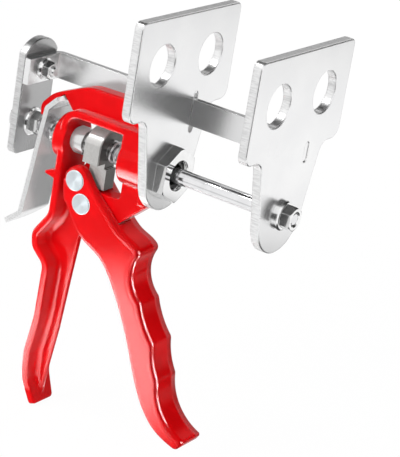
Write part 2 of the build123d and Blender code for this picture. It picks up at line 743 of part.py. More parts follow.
pieces = {
    "body_casting": body_casting,
    "rear_guide_bush": rear_guide_bush,
    "front_guide_bush": front_guide_bush,
    "fixed_jaw_plate": fixed_jaw_plate,
    "clamp_nut": clamp_nut,
    "trigger": trigger,
    "pivot_rivet": lambda: rivet(pivot_x, pivot_z),
    "drive_rivet": lambda: rivet(drive_pin_x, drive_pin_z),
    "drive_dog": drive_dog,
    "dog_spring": dog_spring,
    "release_lever": release_lever,
    "release_spring": release_spring,
    "push_rod": push_rod,
    "moving_jaw_plate": moving_jaw_plate,
    "jaw_washer": jaw_washer,
    "jaw_nut": jaw_nut,
    "guide_bar": guide_bar,
    "rear_link": rear_link,
    "link_bolt": link_bolt,
    "link_bolt_nut": link_bolt_nut,
    "rod_inner_nut": rod_inner_nut,
    "rod_outer_nut": rod_outer_nut,
}

os.makedirs("parts", exist_ok=True)
for name, build in pieces.items():
    export_step(build(), f"parts/{name}.step")
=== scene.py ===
import math

import bpy
from mathutils import Matrix, Vector


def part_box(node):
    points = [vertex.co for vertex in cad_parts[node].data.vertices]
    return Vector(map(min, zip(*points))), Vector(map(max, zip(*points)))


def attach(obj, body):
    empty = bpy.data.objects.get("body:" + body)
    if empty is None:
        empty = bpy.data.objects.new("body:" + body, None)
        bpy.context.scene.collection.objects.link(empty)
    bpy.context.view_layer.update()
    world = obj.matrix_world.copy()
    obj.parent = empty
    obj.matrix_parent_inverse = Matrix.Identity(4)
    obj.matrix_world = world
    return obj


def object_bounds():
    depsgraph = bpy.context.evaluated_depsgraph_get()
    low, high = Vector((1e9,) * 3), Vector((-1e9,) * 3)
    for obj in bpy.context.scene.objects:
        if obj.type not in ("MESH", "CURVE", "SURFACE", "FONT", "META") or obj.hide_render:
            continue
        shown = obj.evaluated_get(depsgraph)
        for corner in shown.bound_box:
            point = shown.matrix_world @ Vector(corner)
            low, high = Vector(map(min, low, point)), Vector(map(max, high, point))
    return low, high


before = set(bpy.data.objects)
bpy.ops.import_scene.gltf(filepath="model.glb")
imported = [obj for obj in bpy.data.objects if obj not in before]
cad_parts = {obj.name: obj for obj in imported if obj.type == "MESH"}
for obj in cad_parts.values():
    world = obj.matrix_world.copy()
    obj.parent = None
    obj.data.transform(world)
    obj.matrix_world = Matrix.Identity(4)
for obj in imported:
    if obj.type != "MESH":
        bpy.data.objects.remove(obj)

bl_info = {
    "name": "Caliper Spreader",
    "version": (1, 0, 0),
    "blender": (4, 5, 0),
    "location": "View3D > Sidebar > Spreader",
    "description": "Finishes, thread detail and studio for a brake caliper spreader",
    "category": "Object",
}

MM = 0.001
CAD_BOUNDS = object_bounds()

COATED = ("body_casting", "trigger")
PLATES = ("fixed_jaw_plate", "moving_jaw_plate")
HARDWARE = (
    "clamp_nut", "jaw_nut", "jaw_washer", "link_bolt", "link_bolt_nut", "rod_inner_nut", "rod_outer_nut",
)
TURNED = ("rear_guide_bush", "front_guide_bush")
RIVETS = ("pivot_rivet", "drive_rivet")
SPRINGS = ("dog_spring", "release_spring")

# Tones
COAT_IN_STEEL = (0.74, 0.74, 0.74)
BARE_CASTING = (0.20, 0.20, 0.20)
# Edges lightened partly by wear and partly as a painted highlight
WORN_AND_HIGHLIT_EDGE = (0.95, 0.95, 0.95)
SHEAR_TONES = (0.70, 0.70, 0.70), (0.92, 0.92, 0.92)
RIVET_TONES = (0.66, 0.73, 0.77), (0.80, 0.86, 0.89)
SINTERED_TONES = (0.54, 0.53, 0.515), (0.74, 0.73, 0.715)
# Tones of the sintered faces that look along the rod, darkened as painted shade
SINTERED_SHADED_FACES = (0.11, 0.106, 0.10), (0.18, 0.174, 0.166)
# Sintered edges, lightened partly by wear and partly as a painted highlight
SINTERED_WORN_HIGHLIT_EDGE = (0.66, 0.655, 0.64)
ROD_TONE = (0.86, 0.86, 0.87)
NUT_TONE = (0.94, 0.94, 0.94)
BUSH_TONE = (0.80, 0.80, 0.80)
WIRE_TONE = (0.62, 0.62, 0.63)
FLOOR_TONE = (0.92, 0.92, 0.92, 1.0)
WHITE = (1.0, 1.0, 1.0, 1.0)

# How dark the link and the lever are against the plain steel, as painted shade, and how dark dull patches are
LINK_PAINTED_SHADE = 0.5
LEVER_PAINTED_SHADE = 0.86
DULL_SHADE = 0.93

# How much of a tone edges (lightened partly by wear and partly as a painted highlight), cut faces and
# reflections take on
COAT_EDGE_SHARE = 0.3
PLATE_EDGE_SHARE = 0.6
STEEL_EDGE_SHARE = 0.7
CUT_SHARE = 0.7
GREYED_SHARE = 0.93

# Roughness, as one value or as the range it runs through
COAT_ROUGH = 0.13, 0.17
RIVET_ROUGH = 0.30, 0.38
SINTERED_ROUGH = 0.30, 0.42
ROD_ROUGH, NUT_ROUGH, BUSH_ROUGH, WIRE_ROUGH = 0.13, 0.11, 0.20, 0.24
SATIN_SWING = 0.004
CUT_ROUGHER = 0.06

# Rounding of edges in the shading, in metres
PLATE_EDGE = 0.0011
SMALL_EDGE = 0.0006
BUSH_EDGE = 0.0005
FINE_EDGE = 0.0004
BEVEL_SAMPLES = 6

# Marks: their height in metres and their strength
PEEL_BUMP = 0.00003, 0.3
SHEAR_BUMP = 0.00005, 0.38
MARK_BUMP = 0.000002, 0.2
RING_BUMP = 0.000004, 0.3
PORE_BUMP = 0.00003, 0.5
DISH_BUMP = 0.10, 1.0
CROWN_BUMP = 1.0, 1.0

# Cells of noise per metre, all round or along X, Y and Z, and rings per metre
COAT_CLOUD, COAT_PEEL = 45, 420
PLATE_CLOUD, STEEL_CLOUD, SINTERED_CLOUD = 28, 140, 120
STEEL_MARKS, TURNED_MARKS = 500, (2600, 120, 120)
SINTERED_PORES = 2200
GRAIN_ACROSS, GRAIN_ALONG = 900.0, 60.0
SHEAR_ACROSS, SHEAR_ALONG = 1100.0, 160.0
RIVET_RINGS = 2100.0

# The part of a mask's range over which a change runs
EDGE_SPAN = 0.999, 0.86
TONE_SPAN, ROUGH_SPAN = (0.35, 0.7), (0.3, 0.75)
PLATE_SPAN, SATIN_SPAN, SHEAR_SPAN = (0.3, 0.72), (0.25, 0.75), (0.38, 0.6)
LOOKS_ALONG, LOOKS_AWAY = (0.70, 0.90), (0.62, 0.30)
RING_SPAN = -1.0, 1.0
PORE_SPAN, SHADED_FACE_SPAN = (0.3, 0.7), (0.55, 0.85)

# Bare metal round the rod axis
SNOUT_LEAD = 0.1 * MM
SNOUT_RADIUS = 11.0 * MM
BORE_RADIUS = 6.7 * MM

# The squeeze grip's front rolls away over this width at each side
CROWN_WIDTH = 7.0 * MM
CROWN_FALL = -95.0

# Threads: radii under the ridges, the rows of the skin, and how far a run starts or stops from an end
BOLT_CORE = 2.92 * MM
STUD_CORE = 3.92 * MM
CLAMP_BORE = 9.05 * MM
THREAD_SIDES = 40
ROWS_PER_TURN = 8
FADE_ROWS = 3.0
HIDDEN_RUN = 1.0 * MM
BOLT_LEAD = 0.5 * MM
STUD_LEAD = 0.2 * MM
CLAMP_DEPTH = 2.9 * MM
CLAMP_LEAD = 0.3 * MM

# Lamps: name, place, aim, size, power, and whether gloss and metal mirror it
LAMPS = (
    ("key", (-0.6, -1.4, 0.60), (0.0, 0.0, -0.03), (0.8, 0.8), 22.0, False),
    ("edge light", (-0.75, -0.55, 1.25), (0.0, 0.0, 0.0), (0.22, 0.22), 3.4, True),
    ("right fill", (1.3, -0.6, 0.5), (0.0, 0.0, 0.0), (0.6, 0.6), 6.5, False),
    ("back fill", (-0.3, 1.4, 0.45), (0.0, 0.0, -0.03), (0.7, 0.7), 9.0, False),
)

# The height of the lamps and cards that lie just over the floor
LEVEL = CAD_BOUNDS[0][2] + 0.01

# Solids that a sheen may fall on
RECEIVERS = {"coated parts": COATED, "rivet heads": RIVETS, "squeeze grip": ("trigger",)}

# Sheens: name, place, aim, size, power, and the solids that receive it
SHEENS = (
    ("low sheen", (-0.08, -0.12, LEVEL), (-0.08, -0.12, 0.0), (0.25, 0.28), 8.0, "coated parts"),
    ("crest sheen", (0.50, -0.03, 0.08), (0.0, 0.0, -0.1), (0.34, 0.60), 90.0, "squeeze grip"),
    ("finger sheen", (0.165, 0.005, LEVEL + 0.004), (0.165, 0.005, 0.0), (0.20, 0.11), 9.0, "squeeze grip"),
    ("left sheen", (-0.42, -0.14, -0.11), (-0.06, 0.0, -0.08), (0.20, 0.16), 2.2, "coated parts"),
    ("top sheen", (-0.38, -0.26, 0.63), (0.0, 0.0, 0.0), (0.34, 0.34), 5.0, "coated parts"),
    ("rivet sheen", (-0.60, -0.32, -0.12), (-0.05, 0.0, -0.03), (0.30, 0.30), 1.3, "rivet heads"),
)

# Cards: name, centre, the way it faces, size, brightness, and the share of it inside the soft edge
UP = (0.0, 0.0, 1.0)
CARDS = (
    ("overhead card", (0.0, 0.35, 0.95), (0.0, -0.1, -1.0), (3.2, 1.5), 0.05, 0.55),
    ("back card", (-0.52, 0.86, 0.36), (0.47, -0.81, -0.35), (0.8, 0.5), 0.31, 0.55),
    ("right wall card", (0.46, 0.62, 0.26), (-0.6, -0.75, -0.2), (0.80, 0.80), 0.03, 0.55),
    ("front card", (0.27, -0.43, -0.09), (-0.47, 0.81, 0.3), (0.56, 0.46), 0.03, 0.8),
    ("front floor card", (0.29, -0.33, LEVEL), UP, (0.30, 0.30), 0.05, 0.55),
    ("floor card", (0.17, 0.06, LEVEL), UP, (0.30, 0.27), 0.06, 0.55),
    ("rear card", (0.03, 0.235, LEVEL + 0.002), UP, (0.24, 0.24), 0.32, 0.55),
    ("chin card", (0.195, 0.295, LEVEL + 0.001), UP, (0.15, 0.14), 0.06, 0.55),
    ("far card", (-0.08, 0.56, LEVEL), UP, (0.34, 0.50), 0.15, 0.55),
    ("left card", (-0.26, -0.44, LEVEL - 0.004), UP, (0.60, 0.46), 0.72, 0.55),
)
SHEEN_CORE = 0.44

# The floor's reach in metres, and the camera's sensor in millimetres and clipping in metres
FLOOR_REACH = 6.0
SENSOR_WIDTH = 36.0
CLIP_START, CLIP_END = 0.05, 50.0


# Node helpers

def add(tree, kind, **values):
    """Adds a node and sets its own properties."""
    made = tree.nodes.new(kind)
    for name, value in values.items():
        setattr(made, name, value)
    return made


def maths(tree, operation, first, second=0.0):
    """A maths node of one or two values, each a number or a socket."""
    made = add(tree, "ShaderNodeMath", operation=operation)
    for socket, value in zip(made.inputs, (first, second)):
        if isinstance(value, (int, float)):
            socket.default_value = value
        else:
            tree.links.new(value, socket)
    return made.outputs[0]


def spread(tree, value, low, high, out_low=0.0, out_high=1.0):
    """Maps one range of a value smoothly onto another."""
    made = add(tree, "ShaderNodeMapRange", interpolation_type="SMOOTHSTEP")
    tree.links.new(value, made.inputs["Value"])
    made.inputs["From Min"].default_value = low
    made.inputs["From Max"].default_value = high
    made.inputs["To Min"].default_value = out_low
    made.inputs["To Max"].default_value = out_high
    return made.outputs["Result"]


def blend_colours(tree, mask, first, second):
    """Mixes two colours, each three numbers or a socket, by a mask."""
    made = add(tree, "ShaderNodeMix", data_type="RGBA")
    tree.links.new(mask, made.inputs["Factor"])
    for label, value in (("A", first), ("B", second)):
        socket = [s for s in made.inputs if s.name == label and s.type == "RGBA"][0]
        if isinstance(value, (tuple, list)):
            socket.default_value = (*value, 1.0)
        else:
            tree.links.new(value, socket)
    return [s for s in made.outputs if s.type == "RGBA"][0]


def tint(tree, tone, mask, share, second):
    """Blends a share of a second colour into a tone where the mask lies."""
    return blend_colours(tree, maths(tree, "MULTIPLY", mask, share), tone, second)


def surface(tree, kind):
    """One of the surface's own coordinates: Object for its place, or Normal for the way it faces."""
    return add(tree, "ShaderNodeTexCoord").outputs[kind]


def parts_of(tree, vector):
    """The X, Y and Z of a vector."""
    made = add(tree, "ShaderNodeSeparateXYZ")
    tree.links.new(vector, made.inputs[0])
    return made.outputs


def radius_of(tree, first, second):
    """The distance from an axis, from the two places across it."""
    squared = [maths(tree, "MULTIPLY", part, part) for part in (first, second)]
    return maths(tree, "SQRT", maths(tree, "ADD", *squared))


def noise(tree, place, cells, detail=3.0, roughness=0.55):
    """Noise with its own number of cells per metre, one number or one for each axis."""
    mapping = add(tree, "ShaderNodeMapping")
    mapping.inputs["Scale"].default_value = cells if isinstance(cells, tuple) else (cells, cells, cells)
    tree.links.new(place, mapping.inputs["Vector"])
    made = add(tree, "ShaderNodeTexNoise")
    made.inputs["Scale"].default_value = 1.0
    made.inputs["Detail"].default_value = detail
    made.inputs["Roughness"].default_value = roughness
    tree.links.new(mapping.outputs["Vector"], made.inputs["Vector"])
    return made.outputs["Fac"]


def bump(tree, height, marks, normal):
    """A bump from a height, over the normal that is given. The marks are a distance and a strength."""
    made = add(tree, "ShaderNodeBump")
    made.inputs["Distance"].default_value, made.inputs["Strength"].default_value = marks
    tree.links.new(height, made.inputs["Height"])
    tree.links.new(normal, made.inputs["Normal"])
    return made.outputs["Normal"]


def faded_edges(tree, offsets, halves, core):
    """1 over the core of a rectangle and 0 at its edges, from the offsets off its middle."""
    masks = [
        spread(tree, maths(tree, "ABSOLUTE", offset), half, half * core)
        for offset, half in zip(offsets, halves)
    ]
    return maths(tree, "MULTIPLY", *masks)


def show_mix(tree, mask, first, glow_strength):
    """Shows a shader where the mask is 0 and a white glow where it is 1."""
    glow = add(tree, "ShaderNodeEmission")
    glow.inputs["Color"].default_value = WHITE
    glow.inputs["Strength"].default_value = glow_strength
    mix = add(tree, "ShaderNodeMixShader")
    tree.links.new(mask, mix.inputs["Fac"])
    tree.links.new(first.outputs[0], mix.inputs[1])
    tree.links.new(glow.outputs[0], mix.inputs[2])
    tree.links.new(mix.outputs[0], tree.nodes["Material Output"].inputs["Surface"])


def new_finish(name, **constants):
    """A material whose shader has these constant values. Returns the material, its tree and its shader."""
    material = bpy.data.materials.new(name)
    material.use_nodes = True
    tree = material.node_tree
    shader = tree.nodes["Principled BSDF"]
    for label, value in constants.items():
        shader.inputs[label.replace("_", " ")].default_value = value
    return material, tree, shader


# Effects that several finishes share

def new_group(name, inputs, outputs):
    """An empty node group with named sockets and its two end nodes."""
    group = bpy.data.node_groups.new(name, "ShaderNodeTree")
    for label, default in inputs:
        socket = group.interface.new_socket(label, in_out="INPUT", socket_type="NodeSocketFloat")
        socket.default_value = default
    for label, kind in outputs:
        group.interface.new_socket(label, in_out="OUTPUT", socket_type=kind)
    return group, add(group, "NodeGroupInput"), add(group, "NodeGroupOutput")


def place_group(tree, name, **values):
    """Puts a shared effect into a material with its own values."""
    made = add(tree, "ShaderNodeGroup")
    made.node_tree = bpy.data.node_groups[name]
    for label, value in values.items():
        made.inputs[label.replace("_", " ")].default_value = value
    return made.outputs


def rounded_edge_group():
    """Rounds sharp edges in the shading, and masks where they are."""
    group, start, end = new_group(
        "Rounded edge", [("Radius", SMALL_EDGE)],
        [("Normal", "NodeSocketVector"), ("Edge", "NodeSocketFloat")],
    )
    bevel = add(group, "ShaderNodeBevel", samples=BEVEL_SAMPLES)
    group.links.new(start.outputs["Radius"], bevel.inputs["Radius"])
    flat = add(group, "ShaderNodeNewGeometry")
    match = add(group, "ShaderNodeVectorMath", operation="DOT_PRODUCT")
    group.links.new(bevel.outputs["Normal"], match.inputs[0])
    group.links.new(flat.outputs["Normal"], match.inputs[1])
    group.links.new(bevel.outputs["Normal"], end.inputs["Normal"])
    group.links.new(spread(group, match.outputs["Value"], *EDGE_SPAN), end.inputs["Edge"])


def grain_group():
    """Fine lines from rolling or brushing, as long along each axis as the cells are few."""
    group, start, end = new_group(
        "Brushed grain",
        [("Cells X", GRAIN_ACROSS), ("Cells Y", GRAIN_ACROSS), ("Cells Z", GRAIN_ALONG)],
        [("Lines", "NodeSocketFloat"), ("Cloud", "NodeSocketFloat")],
    )
    place = surface(group, "Object")
    cells = add(group, "ShaderNodeCombineXYZ")
    for axis in "XYZ":
        group.links.new(start.outputs[f"Cells {axis}"], cells.inputs[axis])
    scaled = add(group, "ShaderNodeVectorMath", operation="MULTIPLY")
    group.links.new(place, scaled.inputs[0])
    group.links.new(cells.outputs[0], scaled.inputs[1])
    lines = add(group, "ShaderNodeTexNoise")
    lines.inputs["Scale"].default_value = 1.0
    lines.inputs["Detail"].default_value = 4.0
    group.links.new(scaled.outputs[0], lines.inputs["Vector"])
    group.links.new(lines.outputs["Fac"], end.inputs["Lines"])
    group.links.new(noise(group, place, PLATE_CLOUD, 4.0), end.inputs["Cloud"])


def ring_group():
    """Turning marks: fine rings about an axis along Y through a chosen centre."""
    group, start, end = new_group(
        "Turning rings",
        [("Centre X", 0.0), ("Centre Z", 0.0), ("Rings", 1600.0)],
        [("Ring", "NodeSocketFloat"), ("Radius", "NodeSocketFloat")],
    )
    place = parts_of(group, surface(group, "Object"))
    from_x = maths(group, "SUBTRACT", place["X"], start.outputs["Centre X"])
    from_z = maths(group, "SUBTRACT", place["Z"], start.outputs["Centre Z"])
    radius = radius_of(group, from_x, from_z)
    turns = maths(group, "MULTIPLY", maths(group, "MULTIPLY", radius, start.outputs["Rings"]), 2 * math.pi)
    group.links.new(maths(group, "SINE", turns), end.inputs["Ring"])
    group.links.new(radius, end.inputs["Radius"])


# Finishes

def red_coat(name, settings, edge_radius, crowned=None):
    """Thick gloss powder coat with a faint orange peel, brighter over edges and grey in reflections.

    A crowned grip is given its half width.
    """
    material, tree, shader = new_finish(name, IOR=1.45, Specular_IOR_Level=0.09)
    place = surface(tree, "Object")
    edge = place_group(tree, "Rounded edge", Radius=edge_radius)
    cloud = noise(tree, place, COAT_CLOUD)
    thin = spread(tree, cloud, *TONE_SPAN)
    tone = blend_colours(tree, thin, tuple(settings.deep), tuple(settings.bright))
    # Edges lighten partly by wear and partly as a painted highlight
    tone = tint(tree, tone, edge["Edge"], COAT_EDGE_SHARE, tuple(settings.edge))
    seen_in_steel = add(tree, "ShaderNodeLightPath").outputs["Is Glossy Ray"]
    tone = tint(tree, tone, seen_in_steel, GREYED_SHARE, COAT_IN_STEEL)
    bare = bare_snout(tree, place)
    tree.links.new(blend_colours(tree, bare, tone, BARE_CASTING), shader.inputs["Base Color"])
    tree.links.new(bare, shader.inputs["Metallic"])
    tree.links.new(spread(tree, cloud, *ROUGH_SPAN, *COAT_ROUGH), shader.inputs["Roughness"])
    rounded = edge["Normal"]
    if crowned is not None:
        rounded = bump(tree, crown_height(tree, place, crowned), CROWN_BUMP, rounded)
    peel = noise(tree, place, COAT_PEEL, 2.0)
    tree.links.new(bump(tree, peel, PEEL_BUMP, rounded), shader.inputs["Normal"])
    return material


def crown_height(tree, place, half_width):
    """How far the grip's front falls away towards its two sides."""
    middle_off = maths(tree, "ABSOLUTE", parts_of(tree, place)["Y"])
    rolled = maths(tree, "MAXIMUM", maths(tree, "SUBTRACT", middle_off, half_width - CROWN_WIDTH), 0.0)
    return maths(tree, "MULTIPLY", maths(tree, "MULTIPLY", rolled, rolled), CROWN_FALL)


def bare_snout(tree, place):
    """Masks the machined snout and the bores on the rod axis, which carry no coat."""
    parts = parts_of(tree, place)
    radius = radius_of(tree, parts["Y"], parts["Z"])
    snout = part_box("fixed_jaw_plate")[0][0]
    ahead = maths(tree, "GREATER_THAN", parts["X"], snout - SNOUT_LEAD)
    slender = maths(tree, "LESS_THAN", radius, SNOUT_RADIUS)
    bored = maths(tree, "LESS_THAN", radius, BORE_RADIUS)
    return maths(tree, "MAXIMUM", maths(tree, "MULTIPLY", ahead, slender), bored)


def sheet_steel(name, settings, across, cut_faces, edge_radius=PLATE_EDGE, shade=1.0):
    """Smooth satin plate: soft faces, bright rolled edges that are partly a painted highlight, and shear marks
    where the sheet was cut.

    The cut faces are those that look along the axis numbered across, or, without
    cut_faces, all the others.
    """
    material, tree, shader = new_finish(name, Metallic=1.0)
    place = surface(tree, "Object")
    edge = place_group(tree, "Rounded edge", Radius=edge_radius)
    cells = [GRAIN_ACROSS] * 3
    cells[2 if across == 0 else 0] = GRAIN_ALONG
    grain = place_group(tree, "Brushed grain", Cells_X=cells[0], Cells_Y=cells[1], Cells_Z=cells[2])
    side = maths(tree, "ABSOLUTE", parts_of(tree, surface(tree, "Normal"))[across])
    cut = spread(tree, side, *(LOOKS_ALONG if cut_faces else LOOKS_AWAY))
    stretch = [SHEAR_ACROSS] * 3
    stretch[1 if cut_faces else across] = SHEAR_ALONG
    shear = noise(tree, place, tuple(stretch), 3.0, 0.6)
    # Painted shade: a shade below 1 darkens the whole steel, for the link and the lever
    low, high = (tuple(shade * part for part in tone) for tone in (settings.steel_low, settings.steel_high))
    tone = blend_colours(tree, spread(tree, grain["Cloud"], *PLATE_SPAN), low, high)
    # Edges lighten partly by wear and partly as a painted highlight
    tone = tint(tree, tone, edge["Edge"], PLATE_EDGE_SHARE, WORN_AND_HIGHLIT_EDGE)
    shear_tone = blend_colours(tree, spread(tree, shear, *SHEAR_SPAN), *SHEAR_TONES)
    tone = tint(tree, tone, cut, CUT_SHARE, shear_tone)
    tree.links.new(tone, shader.inputs["Base Color"])
    smooth, dull = settings.satin - SATIN_SWING, settings.satin + SATIN_SWING
    satin = spread(tree, grain["Lines"], *SATIN_SPAN, smooth, dull)
    rough = maths(tree, "ADD", satin, maths(tree, "MULTIPLY", cut, CUT_ROUGHER))
    tree.links.new(rough, shader.inputs["Roughness"])
    marked = bump(tree, maths(tree, "MULTIPLY", shear, cut), SHEAR_BUMP, edge["Normal"])
    tree.links.new(marked, shader.inputs["Normal"])
    return material


def bright_steel(name, tone, roughness, edge_radius, lines_along_x):
    """Ground or plated steel with fine marks round or across it."""
    material, tree, shader = new_finish(name, Metallic=1.0)
    place = surface(tree, "Object")
    edge = place_group(tree, "Rounded edge", Radius=edge_radius)
    marks = noise(tree, place, TURNED_MARKS if lines_along_x else STEEL_MARKS)
    cloud = noise(tree, place, STEEL_CLOUD)
    dull = tuple(DULL_SHADE * part for part in tone)
    worn = blend_colours(tree, spread(tree, cloud, *TONE_SPAN), dull, tone)
    # Edges lighten partly by wear and partly as a painted highlight
    worn = tint(tree, worn, edge["Edge"], STEEL_EDGE_SHARE, WORN_AND_HIGHLIT_EDGE)
    tree.links.new(worn, shader.inputs["Base Color"])
    rough = spread(tree, cloud, *ROUGH_SPAN, roughness * 0.75, roughness * 1.3)
    tree.links.new(rough, shader.inputs["Roughness"])
    tree.links.new(bump(tree, marks, MARK_BUMP, edge["Normal"]), shader.inputs["Normal"])
    return material


def rivet_steel(node):
    """Turned rivet head with rings about its own axis."""
    low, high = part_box(node)
    material, tree, shader = new_finish(f"{node} steel", Metallic=1.0, Anisotropic=0.75)
    tangent = add(tree, "ShaderNodeTangent", direction_type="RADIAL", axis="Y")
    tree.links.new(tangent.outputs[0], shader.inputs["Tangent"])
    turned = place_group(
        tree, "Turning rings",
        Centre_X=(low[0] + high[0]) / 2, Centre_Z=(low[2] + high[2]) / 2, Rings=RIVET_RINGS,
    )
    edge = place_group(tree, "Rounded edge", Radius=FINE_EDGE)
    tone = blend_colours(tree, spread(tree, turned["Ring"], *RING_SPAN), *RIVET_TONES)
    tree.links.new(tone, shader.inputs["Base Color"])
    tree.links.new(spread(tree, turned["Ring"], *RING_SPAN, *RIVET_ROUGH), shader.inputs["Roughness"])
    dished = bump(tree, turned["Radius"], DISH_BUMP, edge["Normal"])
    tree.links.new(bump(tree, turned["Ring"], RING_BUMP, dished), shader.inputs["Normal"])
    return material


def sintered_steel():
    """Grey pressed steel with an open grain, with painted shade on the faces that look along the rod."""
    material, tree, shader = new_finish("sintered steel", Metallic=1.0)
    place = surface(tree, "Object")
    edge = place_group(tree, "Rounded edge", Radius=SMALL_EDGE)
    grain = noise(tree, place, SINTERED_PORES, 3.0, 0.6)
    cloud = noise(tree, place, SINTERED_CLOUD)
    pores = spread(tree, grain, *PORE_SPAN)
    ground = blend_colours(tree, pores, *SINTERED_TONES)
    dark = blend_colours(tree, pores, *SINTERED_SHADED_FACES)
    # Painted shade: faces that look along the rod take the dark tones
    facing = maths(tree, "ABSOLUTE", parts_of(tree, surface(tree, "Normal"))["X"])
    tone = blend_colours(tree, spread(tree, facing, *SHADED_FACE_SPAN), ground, dark)
    # Edges lighten partly by wear and partly as a painted highlight
    tone = tint(tree, tone, edge["Edge"], STEEL_EDGE_SHARE, SINTERED_WORN_HIGHLIT_EDGE)
    tree.links.new(tone, shader.inputs["Base Color"])
    tree.links.new(spread(tree, cloud, *PORE_SPAN, *SINTERED_ROUGH), shader.inputs["Roughness"])
    tree.links.new(bump(tree, grain, PORE_BUMP, edge["Normal"]), shader.inputs["Normal"])
    return material


def paint(nodes, material):
    """Gives each of these solids its finish in every slot."""
    for node in nodes:
        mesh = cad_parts[node].data
        if not mesh.materials:
            mesh.materials.append(material)
        for index in range(len(mesh.materials)):
            mesh.materials[index] = material


# Threads

def new_object(name, data):
    """An object of this data, linked to the scene."""
    made = bpy.data.objects.new(name, data)
    bpy.context.scene.collection.objects.link(made)
    return made


def thread_mesh(name, radius, depth, pitch, x_from, x_to, inward=False):
    """A run of screw thread about the X axis, as a ridged skin."""
    steps = max(int(round((x_to - x_from) / pitch * ROWS_PER_TURN)), ROWS_PER_TURN)
    points = []
    for row in range(steps + 1):
        x = x_from + (x_to - x_from) * row / steps
        fade = min(1.0, row / FADE_ROWS, (steps - row) / FADE_ROWS)
        for column in range(THREAD_SIDES):
            angle = 2 * math.pi * column / THREAD_SIDES
            phase = ((x - x_from) / pitch - column / THREAD_SIDES) % 1.0
            swell = depth * (1.0 - abs(2.0 * phase - 1.0)) * fade
            reach = radius - swell if inward else radius + swell
            points.append((x, reach * math.cos(angle), reach * math.sin(angle)))
    faces = []
    for row in range(steps):
        for column in range(THREAD_SIDES):
            first = row * THREAD_SIDES + column
            second = row * THREAD_SIDES + (column + 1) % THREAD_SIDES
            faces.append((first, second, second + THREAD_SIDES, first + THREAD_SIDES))
    mesh = bpy.data.meshes.new(name)
    mesh.from_pydata(points, [], faces)
    mesh.update()
    return mesh


def thread_piece(name, body, material, height, **shape):
    """One threaded run, set at its height and joined to a body."""
    piece = new_object(name, thread_mesh(name, **shape))
    piece.location = (0.0, 0.0, height)
    piece.data.materials.append(material)
    for face in piece.data.polygons:
        face.use_smooth = True
    bpy.context.view_layer.update()
    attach(piece, body)


# Studio

def turn_to(item, way, front, upright):
    """Turns a lamp or a card so that its front looks along a direction."""
    item.rotation_mode = "QUATERNION"
    item.rotation_quaternion = way.to_track_quat(front, upright)


def rectangle(name, half_wide, half_tall, height=0.0):
    """A flat rectangular mesh."""
    mesh = bpy.data.meshes.new(name)
    corners = ((-1, -1), (1, -1), (1, 1), (-1, 1))
    mesh.from_pydata([(half_wide * x, half_tall * y, height) for x, y in corners], [], [(0, 1, 2, 3)])
    return mesh


def area_lamp(name, place, aim, size, power, mirrored=True):
    """A soft rectangular lamp aimed at a point, which shows in gloss and metal unless it isn't mirrored."""
    data = bpy.data.lights.new(name, "AREA")
    data.shape = "RECTANGLE"
    data.size, data.size_y = size
    data.energy = power
    lamp = new_object(name, data)
    lamp.location = place
    turn_to(lamp, Vector(aim) - Vector(place), "-Z", "Y")
    lamp.visible_glossy = mirrored
    return lamp


def sheen_lamp(name, place, aim, size, power, receivers):
    """A lamp with soft edges that only shows as a sheen, and only on its receivers."""
    lamp = area_lamp(name, place, aim, size, power)
    lamp.visible_diffuse = False
    lamp.visible_transmission = False
    lamp.light_linking.receiver_collection = receivers
    lamp.data.use_nodes = True
    tree = lamp.data.node_tree
    across = parts_of(tree, add(tree, "ShaderNodeNewGeometry").outputs["Parametric"])
    offsets = [maths(tree, "SUBTRACT", across[axis], 0.5) for axis in "XY"]
    inside = faded_edges(tree, offsets, (0.5, 0.5), SHEEN_CORE)
    tree.links.new(inside, tree.nodes["Emission"].inputs["Strength"])


def seen_or_mirrored(tree):
    """1 for rays from the camera or off a glossy or clear surface, and 0 for the light that falls on things."""
    rays = add(tree, "ShaderNodeLightPath").outputs
    glossy = maths(tree, "MAXIMUM", rays["Is Glossy Ray"], rays["Is Transmission Ray"])
    return maths(tree, "MAXIMUM", rays["Is Camera Ray"], glossy)


def studio_world(ambient):
    """Even white surroundings that light the object softly."""
    world = bpy.data.worlds.new("studio")
    bpy.context.scene.world = world
    world.use_nodes = True
    tree = world.node_tree
    background = tree.nodes["Background"]
    background.inputs["Color"].default_value = WHITE
    strength = maths(tree, "ADD", maths(tree, "MULTIPLY", seen_or_mirrored(tree), 1.0 - ambient), ambient)
    tree.links.new(strength, background.inputs["Strength"])


def studio_floor(height, shade):
    """A wide pale floor that shows white to the camera and keeps a soft shadow."""
    floor = new_object("floor", rectangle("floor", FLOOR_REACH, FLOOR_REACH, height))
    material, tree, shader = new_finish("pale floor", Roughness=0.7, Base_Color=FLOOR_TONE)
    show_mix(tree, maths(tree, "MULTIPLY", seen_or_mirrored(tree), shade), shader, 1.0)
    floor.data.materials.append(material)


def studio_card(name, centre, normal, size, value, core):
    """A card with soft edges, dark or bright, that only shows as a reflection in the metal and the gloss."""
    halves = size[0] / 2, size[1] / 2
    card = new_object(name, rectangle(name, *halves))
    card.location = centre
    turn_to(card, Vector(normal), "Z", "Y")
    material, tree = new_finish(f"{name} tone")[:2]
    place = parts_of(tree, surface(tree, "Object"))
    inside = faded_edges(tree, (place["X"], place["Y"]), halves, core)
    show_mix(tree, inside, add(tree, "ShaderNodeBsdfTransparent"), value)
    card.data.materials.append(material)
    card.visible_camera = False
    card.visible_diffuse = False
    card.visible_transmission = False
    card.visible_shadow = False


